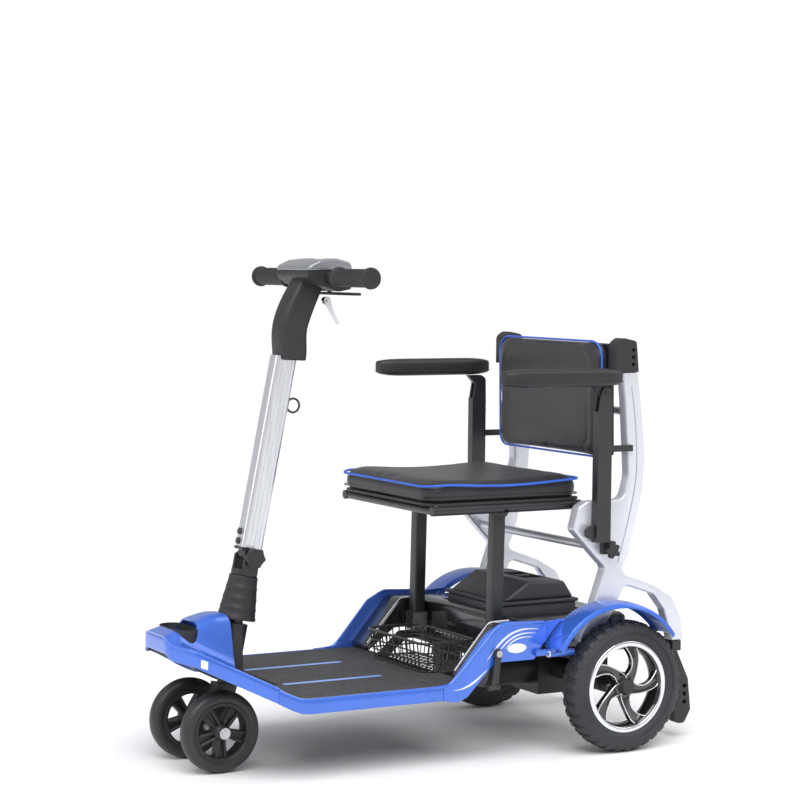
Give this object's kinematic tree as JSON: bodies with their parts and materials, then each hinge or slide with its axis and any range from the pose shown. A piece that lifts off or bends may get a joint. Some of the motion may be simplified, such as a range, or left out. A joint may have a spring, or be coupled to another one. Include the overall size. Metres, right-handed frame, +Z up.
{
  "type": "mobility scooter",
  "caption": "Folding four-wheel mobility scooter with a steerable tiller, folding seat frame, lift-up armrests, wire basket and lift-out battery.",
  "frame": {"origin": "on the ground, on the centre plane, 359 mm ahead of the rear axle", "axes": "+X forward, +Y to the rider's left, +Z up"},
  "size_m": [1.0598, 0.574, 0.9406],
  "materials": {
    "black_frame": "semi-gloss powder coat",
    "grip_mat": "speckled anti-slip grain",
    "pale_blue": "satin",
    "blue_paint": "metallic lacquer",
    "black_plastic": "fine grain",
    "gloss_black": "high gloss",
    "black_cast": "cast, painted",
    "steel": "zinc plated",
    "grey_plastic": "fine grain",
    "tyre": "matt",
    "front_tyre": "smooth",
    "wheel_black": "gloss, machined edges",
    "rubber": "matt",
    "aluminium": "anodised, fluted",
    "grey_cover": "metallic grey",
    "chrome": "bright",
    "seat_fabric": "woven",
    "silver_paint": "satin silver",
    "soft_pad": "soft moulded skin",
    "wire": "coated wire"
  },
  "bodies": {
    "chassis": {"chassis_frame": "black_frame", "steering_head": "black_frame", "floor_pan": "black_frame", "floor_mat": "grip_mat", "floor_inlays": "pale_blue", "side_trims": "blue_paint", "side_panels": "blue_paint", "nose_cover": "blue_paint", "nose_undertray": "black_plastic", "rear_body_cover": "gloss_black", "ramp_housings": "gloss_black", "motor_controller": "black_plastic", "transaxle": "black_cast", "fenders": "blue_paint", "anti_tip_skids": "black_plastic", "pivot_fasteners": "steel"},
    "battery": {"battery_pack": "grey_plastic"},
    "pedal": {"release_pedal": "black_frame"},
    "rear_wheel_left": {"rear_tyre_left": "tyre", "rear_rim_left": "wheel_black", "rear_hub_left": "black_plastic"},
    "rear_wheel_right": {"rear_tyre_right": "tyre", "rear_rim_right": "wheel_black", "rear_hub_right": "black_plastic"},
    "column": {"steering_fork": "black_frame", "front_axle": "steel", "column_boot": "rubber", "hinge_clevis": "black_frame"},
    "clamp_knob": {"hinge_knob": "black_plastic"},
    "front_wheel_left": {"front_tyre_left": "front_tyre", "front_rim_left": "black_plastic"},
    "front_wheel_right": {"front_tyre_right": "front_tyre", "front_rim_right": "black_plastic"},
    "tiller": {"tiller_tube": "aluminium", "tiller_foot": "black_frame", "bag_hook": "black_plastic", "upper_shroud": "black_plastic", "head_housing": "black_plastic", "head_cover": "grey_cover", "handlebar": "black_frame", "handlebar_grips": "rubber"},
    "throttle": {"throttle_lever": "black_plastic"},
    "key": {"ignition_key": "steel"},
    "dial": {"speed_dial": "black_plastic"},
    "tilt_lever": {"tilt_release_lever": "chrome"},
    "posts": {"seat_posts": "black_frame"},
    "seat": {"seat_frame": "black_frame", "seat_pan": "black_plastic", "seat_cushion": "seat_fabric"},
    "back": {"side_frames": "silver_paint", "frame_caps": "black_plastic", "backrest_board": "black_plastic", "backrest_cushion": "seat_fabric", "armrest_posts": "black_frame", "armrest_knobs": "black_plastic"},
    "arm_bracket_left": {"armrest_bracket_left": "black_frame"},
    "arm_bracket_right": {"armrest_bracket_right": "black_frame"},
    "arm_pad_left": {"armrest_pad_left": "soft_pad"},
    "arm_pad_right": {"armrest_pad_right": "soft_pad"},
    "basket": {"basket": "wire"}
  },
  "joints": [
    {"name": "rear_wheel_left_spin", "type": "hinge", "parent": "chassis", "child": "rear_wheel_left", "pos_m": [-0.359, 0.248, 0.127], "axis": [0, 1, 0], "continuous": true},
    {"name": "rear_wheel_right_spin", "type": "hinge", "parent": "chassis", "child": "rear_wheel_right", "pos_m": [-0.359, -0.248, 0.127], "axis": [0, 1, 0], "continuous": true},
    {"name": "steering", "type": "hinge", "parent": "chassis", "child": "column", "pos_m": [0.32, 0, 0.385], "axis": [-0.1918, 0, 0.9814], "range_deg": [-35, 35]},
    {"name": "front_wheel_left_spin", "type": "hinge", "parent": "column", "child": "front_wheel_left", "pos_m": [0.408, 0.071, 0.076], "axis": [0, 1, 0], "continuous": true},
    {"name": "front_wheel_right_spin", "type": "hinge", "parent": "column", "child": "front_wheel_right", "pos_m": [0.408, -0.071, 0.076], "axis": [0, 1, 0], "continuous": true},
    {"name": "tiller_tilt", "type": "hinge", "parent": "column", "child": "tiller", "pos_m": [0.32, 0, 0.385], "axis": [0, 1, 0], "range_deg": [-25, 15]},
    {"name": "clamp_knob_turn", "type": "hinge", "parent": "column", "child": "clamp_knob", "pos_m": [0.32, 0.034, 0.385], "axis": [0, 1, 0], "range_deg": [0, 360]},
    {"name": "throttle_twist", "type": "hinge", "parent": "tiller", "child": "throttle", "pos_m": [0.152, 0, 0.878], "axis": [0, 0, 1], "range_deg": [-9, 9], "stiffness_Nm_per_rad": 0.6},
    {"name": "key_turn", "type": "hinge", "parent": "tiller", "child": "key", "pos_m": [0.133, -0.044, 0.9], "axis": [1, 0, 0], "range_deg": [0, 90]},
    {"name": "dial_turn", "type": "hinge", "parent": "tiller", "child": "dial", "pos_m": [0.135, 0, 0.9], "axis": [1, 0, 0], "range_deg": [-135, 135]},
    {"name": "tilt_release", "type": "hinge", "parent": "tiller", "child": "tilt_lever", "pos_m": [0.178, 0.0333, 0.862], "axis": [0, 1, 0], "range_deg": [-8, 0], "stiffness_Nm_per_rad": 0.5},
    {"name": "battery_lift", "type": "slide", "parent": "chassis", "child": "battery", "axis": [0, 0, 1], "range_m": [0, 0.05]},
    {"name": "basket_lift", "type": "slide", "parent": "chassis", "child": "basket", "axis": [0, 0, 1], "range_m": [0, 0.04]},
    {"name": "pedal_press", "type": "hinge", "parent": "chassis", "child": "pedal", "pos_m": [-0.084, 0.2393, 0.208], "axis": [0, 1, 0], "range_deg": [0, 20], "stiffness_Nm_per_rad": 0.8},
    {"name": "back_fold", "type": "hinge", "parent": "chassis", "child": "back", "pos_m": [-0.29, 0, 0.216], "axis": [0, 1, 0], "range_deg": [0, 72]},
    {"name": "posts_swing", "type": "hinge", "parent": "chassis", "child": "posts", "pos_m": [-0.13, 0, 0.216], "axis": [0, 1, 0], "range_deg": [0, 72]},
    {"name": "seat_level", "type": "hinge", "parent": "posts", "child": "seat", "pos_m": [-0.135, 0, 0.466], "axis": [0, 1, 0], "range_deg": [-72, 0]},
    {"name": "arm_left_level", "type": "hinge", "parent": "back", "child": "arm_bracket_left", "pos_m": [-0.322, 0.231, 0.69], "axis": [0, 1, 0], "range_deg": [-72, 0]},
    {"name": "arm_right_level", "type": "hinge", "parent": "back", "child": "arm_bracket_right", "pos_m": [-0.322, -0.231, 0.69], "axis": [0, 1, 0], "range_deg": [-72, 0]},
    {"name": "arm_left_lift", "type": "hinge", "parent": "arm_bracket_left", "child": "arm_pad_left", "pos_m": [-0.322, 0.231, 0.69], "axis": [0, 1, 0], "range_deg": [-90, 0]},
    {"name": "arm_right_lift", "type": "hinge", "parent": "arm_bracket_right", "child": "arm_pad_right", "pos_m": [-0.322, -0.231, 0.69], "axis": [0, 1, 0], "range_deg": [-90, 0]}
  ],
  "couplings": [
    {"joint": "posts_swing", "follows": "back_fold", "ratio": 1},
    {"joint": "seat_level", "follows": "back_fold", "ratio": -1},
    {"joint": "arm_left_level", "follows": "back_fold", "ratio": -1},
    {"joint": "arm_right_level", "follows": "back_fold", "ratio": -1}
  ]
}
